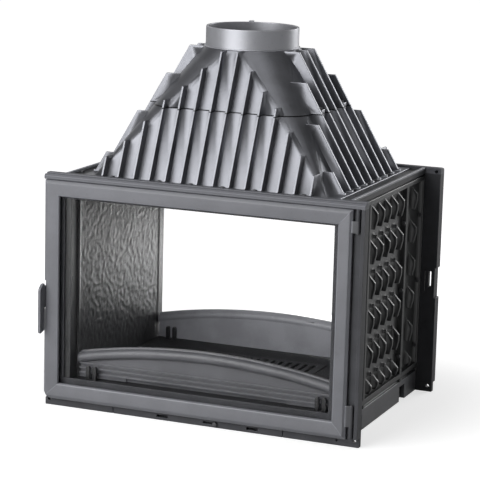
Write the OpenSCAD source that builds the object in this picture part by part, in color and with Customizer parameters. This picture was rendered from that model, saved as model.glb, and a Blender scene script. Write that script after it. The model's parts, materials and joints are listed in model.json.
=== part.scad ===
// Double-sided cast-iron fireplace insert: a firebox open to two rooms, with a framed glass door on
// each side, finned side castings, and a ribbed two-part hood that carries the flue collar.
// Millimetres. Origin: bottom centre of the body. X to the right, -Y to the front door, Z up.

/* [Frames] */
// Width of the front and rear frames
frame_w = 720; // [690:1:780]
// Height of the front and rear frames
frame_h = 510; // [500:1:560]
// Distance between the outermost faces of the two frames
faces_apart = 528; // [500:1:620]
// Depth of a frame from its nose to its back
frame_depth = 26; // [25:1:32]
// Thickness of the frame's plate behind the door
frame_plate = 5.5; // [4:0.5:6]
// Height of the strip below the door
strip_h = 16; // [14:1:20]
// Depth by which the strip stays behind the nose
strip_back = 13; // [12:1:15]
// Height of the cornice above the door
cornice_h = 13.5; // [12:0.5:18]
// Width of the margin that carries the hinges
hinge_margin = 27; // [26:1:32]
// Radius of the frame's fixing holes
fixing_r = 4; // [2.5:0.1:4]

/* [Doors] */
// Width of the door's left bar
bar_left = 34; // [30:1:44]
// Width of the door's right bar
bar_right = 31; // [30:1:44]
// Width of the door's bottom bar
bar_bottom = 35; // [30:1:44]
// Width of the door's top bar
bar_top = 34; // [30:1:44]
// Thickness of the door's casting
door_t = 16; // [14:0.5:18]
// Thickness of the door's glass
glass_t = 4; // [3:0.5:5]
// Radius of the hinge pins
pin_r = 3; // [2:0.1:3.5]
// Outer radius of the hinge knuckles
knuckle_r = 5; // [4.8:0.1:5.5]
// Length of the handle's grip
handle_len = 108; // [90:1:130]
// Distance that the handle stands in front of the door
handle_reach = 22; // [18:1:35]
// Thickness of the handle's plate
handle_t = 6; // [4:0.5:7]

/* [Firebox] */
// Width of a frame's flange beside the firebox
flange_w = 52; // [48:1:56]
// Thickness of the side walls
wall_t = 5; // [4:0.5:7]
// Distance that the fins stand out of the side walls
fin_reach = 15; // [12:1:20]
// Thickness of the side fins
fin_t = 7; // [5:0.5:9]
// Height of a side fin at its outer edge
fin_h = 35; // [28:1:42]
// Length of the centre castings
centre_len = 244; // [240:1:260]
// Height of the base tray
base_h = 46; // [40:1:52]
// Thickness of the hearth plate
hearth_t = 12; // [10:1:16]
// Thickness of the top plate
top_t = 12; // [8:1:14]
// Step from the top plate up to the frame's top
top_drop = 7; // [4:1:12]
// Thickness of the side linings
lining_t = 5; // [4:0.5:8]

/* [Hearth] */
// Width of the grate
grate_w = 290; // [240:1:340]
// Depth of the grate
grate_d = 270; // [220:1:300]
// Width of the gaps in the grate
grate_gap = 9; // [6:0.5:12]
// Depth of the ash pan
pan_h = 30; // [20:1:34]
// Height of the log guard at its middle
guard_top = 148; // [138:1:180]
// Rise of the log guard's arc from its ends to its middle
guard_rise = 30; // [20:1:36]
// Radius of the roll along the log guard's top
roll_r = 11; // [8:0.5:13]
// Distance of the log guards from the centre
guard_y = 203; // [185:1:206]

/* [Hood] */
// Distance of the foot of the hood from the side walls
hood_side = 18; // [15:1:30]
// Distance of the hood's wall from the frames
hood_back = 12; // [10:1:22]
// Height of the hood from the top plate to the collar
hood_h = 274; // [240:1:320]
// Height of the seam between the hood's two castings above the top plate
seam_h = 152; // [130:1:170]
// Thickness of the hood's wall
hood_wall = 6; // [5:0.5:8]
// Outer radius of the flue collar
collar_r = 100; // [90:1:110]
// Thickness of the flue collar
collar_t = 5; // [4:0.5:8]
// Height of the flue collar
collar_h = 44; // [35:1:70]
// Distance that the hood's fins stand out
rib_reach = 22; // [16:1:24]
// Thickness of the fins on the hood's front and rear
rib_t = 4.5; // [3:0.5:7]
// Thickness of the fins on the hood's sides
side_rib_t = 6.5; // [3:0.5:8]
// Distance between two fins on the hood's front and rear
rib_pitch = 36; // [34:1:38]
// Distance between two fins on the hood's sides
side_rib_pitch = 44; // [40:1:46]

/* [Hidden] */
$fn = 48;

// Clearances between pieces
gap = 0.3;
running = 0.06;
door_gap = 1;

// Frame
fx = frame_w / 2;
fy = faces_apart / 2;
back_y = fy - frame_depth;
plate_y = back_y + frame_plate;
strip_y = fy - strip_back;
cornice_z = frame_h - cornice_h;
lip_w = 7.5;
lip_groove = 2;
pad_x1 = fx - lip_w - lip_groove;
fixing_x = fx - 10;
fixing_z = [13, frame_h - 8.6];
fixing_deep = 14;
pad_clear_z = 20;

// Door
door_x0 = -fx;
door_x1 = fx - hinge_margin;
door_z0 = strip_h + door_gap;
door_z1 = cornice_z - 1.5;
door_y = fy - door_t;
open_x0 = door_x0 + bar_left;
open_x1 = door_x1 - bar_right;
open_z0 = door_z0 + bar_bottom;
open_z1 = door_z1 - bar_top;
throat_x0 = open_x0 + 5;
throat_x1 = open_x1 - 13;
throat_z0 = open_z0 + 10;
throat_z1 = open_z1 - 6;
rim_y = door_y - 0.5;
rim_w = 8;
glass_lap = 9.5;
tape_t = 1;
glass_y = door_y + glass_t;
rope_w = 7;
rope_in = 9;
rope_y0 = plate_y + 0.5;
rope_y1 = door_y + 3.2;
clip_t = 1.5;
clip_screw_r = 2;
clip_in = 20.5;

// Hinges
hinge_x = door_x1 + 11;
hinge_y = fy - 6;
low_knuckle = [pad_clear_z, 44];
door_low_knuckle = [low_knuckle[1] + 0.4, 89];
top_knuckle = [cornice_z - 24.5, cornice_z];
door_top_knuckle = [top_knuckle[0] - 25, top_knuckle[0] - 0.4];

// Handle and its keeper
handle_x0 = -fx - 2;
handle_x1 = handle_x0 + handle_t;
handle_z1 = 271;
handle_z0 = handle_z1 - handle_len;
pivot_y = fy - 7;
pivot_z = handle_z1 - 31;
hub_r = 9;
pivot_r = 2.5;
keeper_r = 2.5;
keeper_y = pivot_y - 15;
keeper_z = pivot_z + 6;
claw_r0 = 19.2;
claw_r1 = 24;
pocket_x = handle_x1 + 0.4;
latch_notch = [pivot_z - 14, pivot_z + 44];
disc_r = 24.4;
handle_slot = [pivot_z - disc_r - 1.6, handle_z1 + 5];

// Firebox
wall_x0 = fx - flange_w;
wall_x1 = wall_x0 + wall_t;
fin_x = wall_x1 + fin_reach;
rib_x = fin_x - 4;
top_z = frame_h - top_drop;
deck_z = top_z - top_t;
rim_groove = 4;
top_rim = 7;
centre_y = centre_len / 2;
rail_x = fin_x - 6;
seam_bolt_x = (wall_x1 + rib_x) / 2;
fin_top = deck_z - 32;
fin_steps = 5;
fin_rise = 16;
fin_taper = 5;
fin_floor = base_h + 24;
fin_row_pitch = (fin_top - fin_floor - 17.5) / fin_steps;
col_pitch = centre_len / 5.6;
end_col = (back_y - centre_y) / 2;
hearth_z = base_h + hearth_t;
ledge_x = wall_x0 - 6;
lining_x = wall_x0 - lining_t;
lining_y = back_y - 32;

// Grate and ash pan
grate_ledge = 6;
grate_z = base_h + 6;
grate_bar = 10;
pan_clear = 9;

// Log guards
guard_half = lining_x - 3;
guard_z0 = hearth_z + 2 + gap;
arc_half = guard_half - 10;
panel_over = 3;
arc_top = guard_top - roll_r - panel_over;
arc_low = arc_top - guard_rise - roll_r;
arc_r = (arc_half * arc_half + guard_rise * guard_rise) / (2 * guard_rise);
panel_t = 8;
roll_out = 5;
rib_out = 6;
guard_rib = 4;
guard_pitch = (arc_low - guard_z0) / 3.1;
recess_half = 0.62 * guard_half;
post_x = wall_x0 - 44;
post_w = 8;
post_h = 30;
post_t = 8;
post_pitch = 16;
post_in = panel_t / 2 + 2;
post_out = roll_out + roll_r - 1.5;

// Hood
foot_t = 3;
foot_x = wall_x0 - hood_side;
hood_x = foot_x - rib_reach - 4;
hood_y = back_y - hood_back;
foot_y = back_y - 1;
rib_step = top_drop + 1.3;
seam_z = top_z + seam_h;
neck_z = top_z + hood_h;
neck_r = collar_r + 4;
bore_r = collar_r - collar_t;
neck_ledge = 3;
rib_tops = [274, 237, 199, 169, 124, 82, 47];
side_rib_tops = [274, 274, 216, 137, 49];
baffle_x = hood_x - 64;
baffle_y = hood_y - 116;
baffle_t = 10;
bar_x = baffle_x - 52;
bar_t = 12;

module block(x, y, z) {
    translate([x[0], y[0], z[0]]) cube([x[1] - x[0], y[1] - y[0], z[1] - z[0]]);
}

// Extrudes an outline drawn in Y and Z from x0 to x1
module along_x(x0, x1) {
    translate([x0, 0, 0]) rotate([90, 0, 90]) linear_extrude(x1 - x0) children();
}

// Extrudes an outline drawn in X and Z from y0 to y1
module along_y(y0, y1) {
    translate([0, y1, 0]) rotate([90, 0, 0]) linear_extrude(y1 - y0) children();
}

// Rod along X or along Y, from a to b
module rod_x(a, b, y, z, r) {
    translate([a, y, z]) rotate([0, 90, 0]) cylinder(r = r, h = b - a);
}
module rod_y(a, b, x, z, r) {
    translate([x, a, z]) rotate([-90, 0, 0]) cylinder(r = r, h = b - a);
}

module to_rear() {
    mirror([0, 1, 0]) children();
}
module to_left() {
    mirror([1, 0, 0]) children();
}
module both_sides() {
    children();
    mirror([1, 0, 0]) children();
}
module both_ends() {
    children();
    mirror([0, 1, 0]) children();
}

// Hexagon bolt standing on its seat at z = 0, with its shank below
module hex_bolt(head_r, head_h, shank_r, shank_len) {
    cylinder(r = head_r, h = head_h, $fn = 6);
    translate([0, 0, -shank_len]) cylinder(r = shank_r, h = shank_len + 0.01, $fn = 24);
}

// Frames, drawn as the front one

// Cross-section of the cornice: nose, groove and raised top
module cornice_outline() {
    polygon([
        [-back_y, cornice_z], [-(fy - 2), cornice_z], [-fy, cornice_z + 2], [-fy, frame_h - 6],
        [-(fy - 3), frame_h - 2.4], [-(fy - 9), frame_h - 2.4], [-(fy - 9), frame_h - 4.4],
        [-(fy - 11.5), frame_h - 4.4], [-(fy - 11.5), frame_h], [-back_y, frame_h]
    ]);
}

module hinge_knuckle(z, bore) {
    translate([hinge_x, -hinge_y, z[0]]) cylinder(r = knuckle_r, h = z[1] - z[0]);
}

module frame_blank() {
    block([-fx, fx], [-plate_y, -back_y], [0, frame_h]);
    block([-fx, fx], [-strip_y, -back_y], [0, strip_h]);
    along_x(-fx, fx) cornice_outline();
    block([-fx, -fx + rim_w], [-rim_y, -back_y], [0, frame_h - 6]);
    block([door_x1 + 1, pad_x1], [-strip_y, -back_y], [0, cornice_z + 1]);
    block([fx - lip_w, fx], [-fy, -back_y], [pad_clear_z, frame_h - 6]);
    block([pad_x1, fx], [-strip_y, -back_y], [0, pad_clear_z]);
    for (z = [low_knuckle, top_knuckle]) {
        hinge_knuckle(z);
        block([hinge_x - knuckle_r, hinge_x + knuckle_r], [-hinge_y, -strip_y + 1], z);
    }
}

air_slots = [[-95, -69], [111, 137]];
air_z = [5.5, 11.5];
slider_z = [3, 14];
slider_t = 3;
slider_travel = 26;
slider_x = [-130, 172];
knob_x = 41;
knob_r = 5;
knob_z = 8.5;

module frame(latch_right) {
    difference() {
        frame_blank();
        block([throat_x0, throat_x1], [-fy, 0], [throat_z0, throat_z1]);
        // Seats of the two hinge pins
        for (z = [low_knuckle, top_knuckle])
            translate([hinge_x, -hinge_y, z[0] - 0.1]) cylinder(r = pin_r, h = z[1] - z[0] + 0.1);
        // Holes that fix the frame to its surround
        for (x = [-fixing_x, fixing_x]) {
            rod_y(-fy - 1, 0, x, fixing_z[0], fixing_r);
            rod_y(-back_y - fixing_deep, 0, x, fixing_z[1], fixing_r);
        }
        // Air slots, the slot of the knob's stem and the slider's channel
        for (x = air_slots)
            block(x, [-fy, 0], air_z);
        block([knob_x - slider_travel - 3, knob_x + 3], [-fy, 0], [knob_z - 2.5, knob_z + 2.5]);
        block([slider_x[0] - slider_travel - 2, slider_x[1] + 2], [-back_y - slider_t - gap, 0],
            [slider_z[0] - gap, slider_z[1] + gap]);
        // Casting joints in the strip
        for (x = [-197, 193])
            block([x - 1, x + 1], [-strip_y - 1, -strip_y + 3], [-1, strip_h + 1]);
        rod_y(-strip_y - 1, -strip_y + 6, door_x1 - 21, 10, 2.5);
        // Pocket of the latch in the left edge
        block([-fx - 1, -fx + rim_w], [-fy, 0], latch_notch);
        if (latch_right) {
            block([fx - 4, fx + 1], [-fy - 1, 0], [latch_notch[0] - 10, latch_notch[1]]);
            block([fx - 18, fx - 12], [-fy, 0], [241, 276]);
            block([door_x1, door_x1 + 2.5], [-fy, 0], [228, 276]);
        }
    }
}
module front_frame() {
    color([0.22, 0.22, 0.23]) frame(false);
}
module rear_frame() {
    color([0.20, 0.20, 0.21]) to_rear() frame(true);
}

// Doors, drawn as the front one

// Bar's section as [distance from the outer edge, height above the back]
function bar_section(w) = [
    [0, 0], [0, door_t - 5], [6, door_t - 0.5], [9, door_t], [w - 5, door_t - 2],
    [w - 2, door_t - 2.6], [w, door_t - 5], [w, 0]
];

// Wedge that cuts a bar to its mitres, from the outer corners to the inner ones
module mitre(o1, o2, i2, i1) {
    along_y(-fy - 1, -door_y + 1) polygon([o1, o2, i2, i1]);
}

module door_bars() {
    ol = [door_x0, door_z0];
    olt = [door_x0, door_z1];
    ort = [door_x1, door_z1];
    orb = [door_x1, door_z0];
    il = [open_x0, open_z0];
    ilt = [open_x0, open_z1];
    irt = [open_x1, open_z1];
    irb = [open_x1, open_z0];
    intersection() {
        along_x(door_x0, door_x1)
            polygon([for (p = bar_section(bar_bottom)) [-door_y - p[1], door_z0 + p[0]]]);
        mitre(ol, orb, irb, il);
    }
    intersection() {
        along_x(door_x0, door_x1)
            polygon([for (p = bar_section(bar_top)) [-door_y - p[1], door_z1 - p[0]]]);
        mitre(olt, ort, irt, ilt);
    }
    intersection() {
        translate([0, 0, door_z0]) linear_extrude(door_z1 - door_z0)
            polygon([for (p = bar_section(bar_left)) [door_x0 + p[0], -door_y - p[1]]]);
        mitre(ol, olt, ilt, il);
    }
    intersection() {
        translate([0, 0, door_z0]) linear_extrude(door_z1 - door_z0)
            polygon([for (p = bar_section(bar_right)) [door_x1 - p[0], -door_y - p[1]]]);
        mitre(orb, ort, irt, irb);
    }
}

// Rectangular ring of width w, whose outer edge lies "inset" inside the door's edge
module door_ring(inset, w, y0, y1) {
    difference() {
        block([door_x0 + inset, door_x1 - inset], [-y1, -y0], [door_z0 + inset, door_z1 - inset]);
        block([door_x0 + inset + w, door_x1 - inset - w], [-y1 - 1, -y0 + 1],
            [door_z0 + inset + w, door_z1 - inset - w]);
    }
}

clip_x = [open_x0 + 0.24 * (open_x1 - open_x0), open_x1 - 0.24 * (open_x1 - open_x0)];
clip_z = [open_z0 + 0.22 * (open_z1 - open_z0), open_z1 - 0.22 * (open_z1 - open_z0)];
clip_points = [
    for (x = clip_x) [x, door_z0 + clip_in, 0],
    for (x = clip_x) [x, door_z1 - clip_in, 180],
    for (z = clip_z) [door_x0 + clip_in, z, 90],
    for (z = clip_z) [door_x1 - clip_in + 1.3, z, -90]
];

module door() {
    corner = 14;
    difference() {
        union() {
            door_bars();
            for (z = [door_low_knuckle, door_top_knuckle]) {
                hinge_knuckle(z);
                block([door_x1 - 2, hinge_x], [-hinge_y - 4, -hinge_y + 4], z);
            }
        }
        // Pocket of the glass and groove of the rope
        block([open_x0 - glass_lap - 0.5, open_x1 + glass_lap + 0.5], [-glass_y - tape_t, -door_y + 1],
            [open_z0 - glass_lap - 0.5, open_z1 + glass_lap + 0.5]);
        door_ring(rope_in, rope_w, door_y - 1, rope_y1);
        // Corner that clears the frame's fixing hole
        along_y(-fy - 1, -door_y + 1)
            polygon([
                [door_x0 - 1, door_z0 - 1], [door_x0 + corner, door_z0 - 1],
                [door_x0 + corner, door_z0], [door_x0, door_z0 + corner], [door_x0 - 1, door_z0 + corner]
            ]);
        for (z = [door_low_knuckle, door_top_knuckle])
            translate([hinge_x, -hinge_y, z[0] - 1])
                cylinder(r = pin_r + running, h = z[1] - z[0] + 2);
        // Slot of the handle, its screw, and the screws of the clips
        block([door_x0 - 1, pocket_x], [-fy - 1, -door_y + 1], handle_slot);
        rod_x(pocket_x - 1, pocket_x + 12, -pivot_y, pivot_z, pivot_r);
        for (p = clip_points)
            rod_y(-door_y - 8, -door_y + 1, p[0], p[1], clip_screw_r);
    }
}
module front_door() {
    color([0.24, 0.24, 0.25]) door();
}
module rear_door() {
    color([0.24, 0.24, 0.25]) to_rear() door();
}

module glass() {
    block([open_x0 - glass_lap, open_x1 + glass_lap], [-glass_y, -door_y],
        [open_z0 - glass_lap, open_z1 + glass_lap]);
}
module front_glass() {
    color([0.6, 0.62, 0.62, 0.3]) glass();
}
module rear_glass() {
    color([0.6, 0.62, 0.62, 0.3]) to_rear() glass();
}

module glass_tape() {
    lap = glass_lap;
    difference() {
        block([open_x0 - lap, open_x1 + lap], [-glass_y - tape_t, -glass_y], [open_z0 - lap, open_z1 + lap]);
        block([open_x0 - 1, open_x1 + 1], [-fy, 0], [open_z0 - 1, open_z1 + 1]);
    }
}
module front_glass_tape() {
    color([0.15, 0.15, 0.15]) glass_tape();
}
module rear_glass_tape() {
    color([0.15, 0.15, 0.15]) to_rear() glass_tape();
}

module door_rope() {
    door_ring(rope_in, rope_w, rope_y0, rope_y1);
}
module front_door_rope() {
    color([0.3, 0.3, 0.29]) door_rope();
}
module rear_door_rope() {
    color([0.3, 0.3, 0.29]) to_rear() door_rope();
}

module at_clips() {
    for (p = clip_points)
        translate([p[0], -door_y, p[1]]) rotate([0, p[2], 0]) children();
}
module glass_clips() {
    at_clips() difference() {
        block([-10, 10], [0, clip_t], [-3, 9.5]);
        rod_y(-1, clip_t + 1, 0, 0, clip_screw_r);
    }
}
module front_glass_clips() {
    color([0.45, 0.45, 0.46]) glass_clips();
}
module rear_glass_clips() {
    color([0.45, 0.45, 0.46]) to_rear() glass_clips();
}

module clip_screws() {
    at_clips() {
        rod_y(-8, clip_t + 0.5, 0, 0, clip_screw_r);
        difference() {
            rod_y(clip_t, clip_t + 2, 0, 0, 2.9);
            block([-4, 4], [clip_t + 1.2, clip_t + 3], [-0.5, 0.5]);
        }
    }
}
module front_clip_screws() {
    color([0.5, 0.5, 0.5]) clip_screws();
}
module rear_clip_screws() {
    color([0.5, 0.5, 0.5]) to_rear() clip_screws();
}

module hinge_pins() {
    translate([hinge_x, -hinge_y, low_knuckle[0]])
        cylinder(r = pin_r, h = door_low_knuckle[1] + 2 - low_knuckle[0]);
    translate([hinge_x, -hinge_y, door_top_knuckle[0] - 2])
        cylinder(r = pin_r, h = top_knuckle[1] - door_top_knuckle[0] + 2);
}
module front_hinge_pins() {
    color([0.5, 0.5, 0.5]) hinge_pins();
}
module rear_hinge_pins() {
    color([0.5, 0.5, 0.5]) to_rear() hinge_pins();
}

// Handle: a flat plate that turns in a slot of the door, with a claw for the keeper pin
module claw_outline() {
    intersection() {
        difference() {
            circle(r = claw_r1);
            circle(r = claw_r0);
        }
        polygon([[0, 0], 60 * [cos(35), sin(35)], 60 * [cos(65), sin(65)], 60 * [cos(95), sin(95)]]);
    }
    intersection() {
        circle(r = claw_r1);
        polygon([[0, 0], 60 * [cos(75), sin(75)], 60 * [cos(97), sin(97)]]);
    }
}

module handle() {
    front = -(fy + handle_reach);
    face = -(fy + 0.5);
    difference() {
        along_x(handle_x0, handle_x1) {
            polygon([
                [front + 3, handle_z0], [face, handle_z0 + 5], [face, handle_z1 - 3],
                [face - 3, handle_z1], [face - 10, handle_z1 - 1], [front + 1, handle_z1 - 10],
                [front, handle_z1 - 14], [front, handle_z0 + 5]
            ]);
            translate([-pivot_y, pivot_z]) {
                circle(r = hub_r);
                claw_outline();
                intersection() {
                    circle(r = disc_r);
                    translate([-disc_r, -disc_r]) square([disc_r, 2 * disc_r]);
                }
            }
        }
        rod_x(handle_x0 - 1, handle_x1 + 1, -pivot_y, pivot_z, pivot_r + running);
    }
}
module front_handle() {
    color([0.3, 0.3, 0.31]) handle();
}
module rear_handle() {
    color([0.3, 0.3, 0.31]) to_rear() handle();
}

module handle_screw() {
    rod_x(handle_x0 - gap, pocket_x + 12, -pivot_y, pivot_z, pivot_r);
    difference() {
        rod_x(handle_x0 - gap - 2.5, handle_x0 - gap, -pivot_y, pivot_z, 5);
        block([handle_x0 - 5, handle_x0 - gap - 1.3], [-pivot_y - 6, -pivot_y + 6],
            [pivot_z - 0.7, pivot_z + 0.7]);
    }
}
module front_handle_screw() {
    color([0.5, 0.5, 0.5]) handle_screw();
}
module rear_handle_screw() {
    color([0.5, 0.5, 0.5]) to_rear() handle_screw();
}

// Keeper pin, standing out of the wall of the latch pocket
module keeper_pin() {
    rod_x(handle_x0, -fx + rim_w, -keeper_y, keeper_z, keeper_r);
}
module front_keeper_pin() {
    color([0.5, 0.5, 0.5]) keeper_pin();
}
module rear_keeper_pin() {
    color([0.5, 0.5, 0.5]) to_rear() keeper_pin();
}

// Air sliders
module air_slider() {
    difference() {
        block(slider_x, [-back_y - slider_t, -back_y - gap / 2], slider_z);
        for (x = air_slots)
            block(x, [-fy, 0], air_z);
        rod_y(-fy, 0, knob_x, knob_z, 2);
    }
}
module front_air_slider() {
    color([0.35, 0.35, 0.35]) air_slider();
}
module rear_air_slider() {
    color([0.35, 0.35, 0.35]) to_rear() air_slider();
}

module air_knob() {
    rod_y(-strip_y - 1, -back_y - 1, knob_x, knob_z, 2);
    translate([knob_x, -strip_y - gap, knob_z]) rotate([90, 0, 0]) {
        cylinder(r = knob_r, h = 5);
        translate([0, 0, 5]) cylinder(r1 = knob_r, r2 = knob_r - 1.5, h = 1.5);
    }
}
module front_air_knob() {
    color([0.45, 0.45, 0.45]) air_knob();
}
module rear_air_knob() {
    color([0.45, 0.45, 0.45]) to_rear() air_knob();
}

// Side castings, drawn on the right

// One fin: its top slopes down to the outer edge, which draws in again towards the foot. The lowest
// fins are cut off above the bottom border.
module side_fin(y, top) {
    low = max(top - fin_h, fin_floor);
    if (top - low > 8)
        along_y(y - fin_t / 2, y + fin_t / 2)
            polygon([
                [wall_x1 - 1, low], [fin_x - fin_taper, low], [fin_x, low + 0.6 * (top - low)],
                [fin_x, top], [wall_x1, top + fin_rise], [wall_x1 - 1, top + fin_rise]
            ]);
}

module side_casting(y, cols, pegs) {
    block([wall_x0, wall_x1], y, [base_h, deck_z]);
    // Borders at the two ends, along the bottom and under the top plate
    block([wall_x0, rib_x], [y[0], y[0] + 5], [base_h, deck_z]);
    block([wall_x0, rib_x], [y[1] - 5, y[1]], [base_h, deck_z]);
    block([wall_x0, rail_x - 3], y, [base_h, base_h + 3]);
    block([wall_x0, rib_x], y, [base_h + 9, fin_floor - 4]);
    block([wall_x0, rib_x], y, [deck_z - 10, deck_z]);
    for (c = cols, r = [0 : fin_steps])
        side_fin(c, fin_top - r * fin_row_pitch);
    for (c = pegs, r = [1 : fin_steps])
        rod_x(wall_x1 - 1, wall_x1 + 7, c, fin_top - r * fin_row_pitch + fin_rise + 4, 4.5);
}
module centre_casting() {
    side_casting([-centre_y, centre_y], [for (i = [-2 : 2]) i * col_pitch],
        [for (i = [-1.5 : 1.5]) i * col_pitch]);
}
module front_casting() {
    side_casting([-back_y, -centre_y], [-centre_y - end_col], []);
}
module left_front_casting() {
    color([0.17, 0.17, 0.18]) to_left() front_casting();
}
module left_centre_casting() {
    color([0.17, 0.17, 0.18]) to_left() centre_casting();
}
module left_rear_casting() {
    color([0.17, 0.17, 0.18]) to_left() to_rear() front_casting();
}
module right_front_casting() {
    color([0.17, 0.17, 0.18]) front_casting();
}
module right_centre_casting() {
    color([0.17, 0.17, 0.18]) centre_casting();
}
module right_rear_casting() {
    color([0.17, 0.17, 0.18]) to_rear() front_casting();
}

// Base tray: floor, rails with the ledge that carries the walls, and feet at the corners
module base_tray() {
    color([0.16, 0.16, 0.17]) difference() {
        union() {
            block([-rail_x, rail_x], [-back_y, back_y], [0, 6]);
            both_sides() {
                block([rail_x - 10, rail_x], [-back_y, back_y], [0, base_h]);
                block([ledge_x, rail_x], [-back_y, back_y], [base_h - 8, base_h]);
            }
            both_ends() block([-rail_x, rail_x], [-back_y, -back_y + 8], [0, base_h]);
        }
        both_ends() {
            for (x = air_slots)
                block(x, [-back_y - 1, -back_y + 9], air_z);
            both_sides() block([rail_x - 11, rail_x + 1], [-centre_y - 38, -centre_y - 2], [-1, base_h - 12]);
        }
    }
}

module hearth_plate() {
    x = grate_w / 2;
    y = grate_d / 2;
    color([0.2, 0.2, 0.21]) difference() {
        block([-wall_x0 + 1, wall_x0 - 1], [-back_y, back_y], [base_h, hearth_z]);
        block([-x - 1, x + 1], [-y - 1, y + 1], [grate_z, hearth_z + 1]);
        block([-x + grate_ledge, x - grate_ledge], [-y + grate_ledge, y - grate_ledge],
            [base_h - 1, hearth_z]);
    }
}

module grate() {
    pitch = grate_bar + grate_gap;
    count = floor((grate_w - 2 * grate_bar - 4) / pitch);
    first = -(count - 1) / 2 * pitch;
    half = grate_d / 2 - 14;
    color([0.2, 0.2, 0.21]) difference() {
        block([-grate_w / 2, grate_w / 2], [-grate_d / 2, grate_d / 2], [grate_z + gap, hearth_z + 2]);
        for (i = [0 : count - 1])
            block([first + i * pitch - grate_gap / 2, first + i * pitch + grate_gap / 2],
                [-half, half], [grate_z - 1, hearth_z + 3]);
    }
}

module ash_pan() {
    x = grate_w / 2 - grate_ledge - pan_clear;
    y = grate_d / 2 - grate_ledge - pan_clear;
    color([0.3, 0.3, 0.3]) difference() {
        block([-x, x], [-y, y], [6 + gap, 6 + pan_h]);
        block([-x + 1.5, x - 1.5], [-y + 1.5, y - 1.5], [8, 7 + pan_h]);
    }
}

module lining() {
    block([lining_x, wall_x0], [-lining_y, lining_y], [hearth_z, deck_z - 11]);
}
module left_lining() {
    color([0.3, 0.3, 0.3]) to_left() lining();
}
module right_lining() {
    color([0.3, 0.3, 0.3]) lining();
}

// Log guards, drawn as the front one: a crescent panel with a roll along its front, three ribs below
// the roll, and a foot whose middle is set back
module log_guard() {
    front = -guard_y - panel_t / 2;
    intersection() {
        translate([0, -guard_y - roll_out, arc_top - arc_r]) rotate([90, 0, 0])
            rotate_extrude($fn = 360) translate([arc_r, 0]) circle(r = roll_r, $fn = 24);
        block([-guard_half, guard_half], [front - 20, -guard_y + 20], [guard_z0, guard_top + 1]);
    }
    intersection() {
        rod_y(front, -guard_y + panel_t / 2, 0, arc_top - arc_r, arc_r + roll_r + panel_over);
        block([-guard_half + 2, guard_half - 2], [front - 1, -guard_y + 20], [guard_z0, guard_top + 1]);
    }
    for (i = [0 : 2])
        block([-guard_half + 2, guard_half - 2], [front - rib_out, -guard_y],
            [arc_low - i * guard_pitch - guard_rib, arc_low - i * guard_pitch]);
    both_sides()
        block([recess_half, guard_half - 2], [front - rib_out + 1.5, -guard_y],
            [guard_z0, arc_low - 2 * guard_pitch - guard_rib + 1]);
}
module front_log_guard() {
    color([0.2, 0.2, 0.21]) log_guard();
}
module rear_log_guard() {
    color([0.2, 0.2, 0.21]) to_rear() log_guard();
}

// Forks that hold a guard upright, each a foot with two pairs of round-topped posts
module guard_brackets() {
    for (x = [-post_x, post_x]) translate([x, -guard_y, hearth_z]) {
        block([-post_pitch / 2 - post_w / 2, post_pitch / 2 + post_w / 2],
            [-post_out - post_t, post_in + post_t], [0, 2]);
        for (dx = [-post_pitch / 2, post_pitch / 2], y = [-post_out - post_t, post_in]) {
            block([dx - post_w / 2, dx + post_w / 2], [y, y + post_t], [0, post_h - post_w / 2]);
            rod_y(y, y + post_t, dx, post_h - post_w / 2, post_w / 2);
        }
    }
}
module front_guard_brackets() {
    color([0.2, 0.2, 0.21]) guard_brackets();
}
module rear_guard_brackets() {
    color([0.2, 0.2, 0.21]) to_rear() guard_brackets();
}

// Top plate with a raised rim along each side, and a groove under its edge
module top_plate() {
    color([0.35, 0.35, 0.36]) difference() {
        union() {
            block([-rib_x + 3, rib_x - 3], [-back_y, back_y], [deck_z, top_z]);
            block([-rib_x, rib_x], [-back_y, back_y], [deck_z + rim_groove, top_z]);
            both_sides() block([rib_x - top_rim, rib_x], [-back_y, back_y], [top_z - 1, frame_h - 0.5]);
        }
        block([-hood_x + 18, hood_x - 18], [-hood_y + 20, hood_y - 20], [deck_z - 1, top_z + 1]);
    }
}

// Hood: a rectangle below and a circle above, joined by flat triangles and corner cones
module hood_solid(inset, z0, z1, r) {
    hull() {
        block([-hood_x + inset, hood_x - inset], [-hood_y + inset, hood_y - inset], [z0, z0 + 0.5]);
        translate([0, 0, z1 - 0.5]) cylinder(r = r, h = 0.5, $fn = 48);
    }
}

// Half width or half depth of the hood's wall at height h above the top plate
function hood_half(half, h) = half + (neck_r - half) * h / hood_h;

// Outline of one fin from height h0 to h1, which starts inside the wall. Its foot ends at "foot", and
// above the frames' top it stands out to its full reach.
module rib_outline(half, h0, h1, foot) {
    out = hood_half(half, rib_step) + rib_reach;
    low = h0 < rib_step ? [[foot, top_z + h0], [foot, top_z + rib_step], [out, top_z + rib_step]]
        : [[hood_half(half, h0) + rib_reach, top_z + h0]];
    polygon(concat([[hood_half(half, h0) - 14, top_z + h0]], low, [
        [hood_half(half, h1) + rib_reach, top_z + h1], [hood_half(half, h1) - 14, top_z + h1]
    ]));
}

// All fins between two heights
module hood_ribs(h0, h1) {
    both_sides() both_ends() {
        for (i = [0 : len(rib_tops) - 1])
            let (x = (i + 0.5) * rib_pitch, top = min(rib_tops[i] * hood_h / 274, h1))
                if (top > h0)
                    along_x(x - rib_t / 2, x + rib_t / 2) mirror([1, 0]) 
                        rib_outline(hood_y, h0, top, foot_y);
        for (i = [0 : len(side_rib_tops) - 1])
            let (y = i * side_rib_pitch, top = min(side_rib_tops[i] * hood_h / 274, h1))
                if (top > h0)
                    along_y(-y - side_rib_t / 2, -y + side_rib_t / 2) 
                        rib_outline(hood_x, h0, top, foot_x - 4);
    }
}

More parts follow.
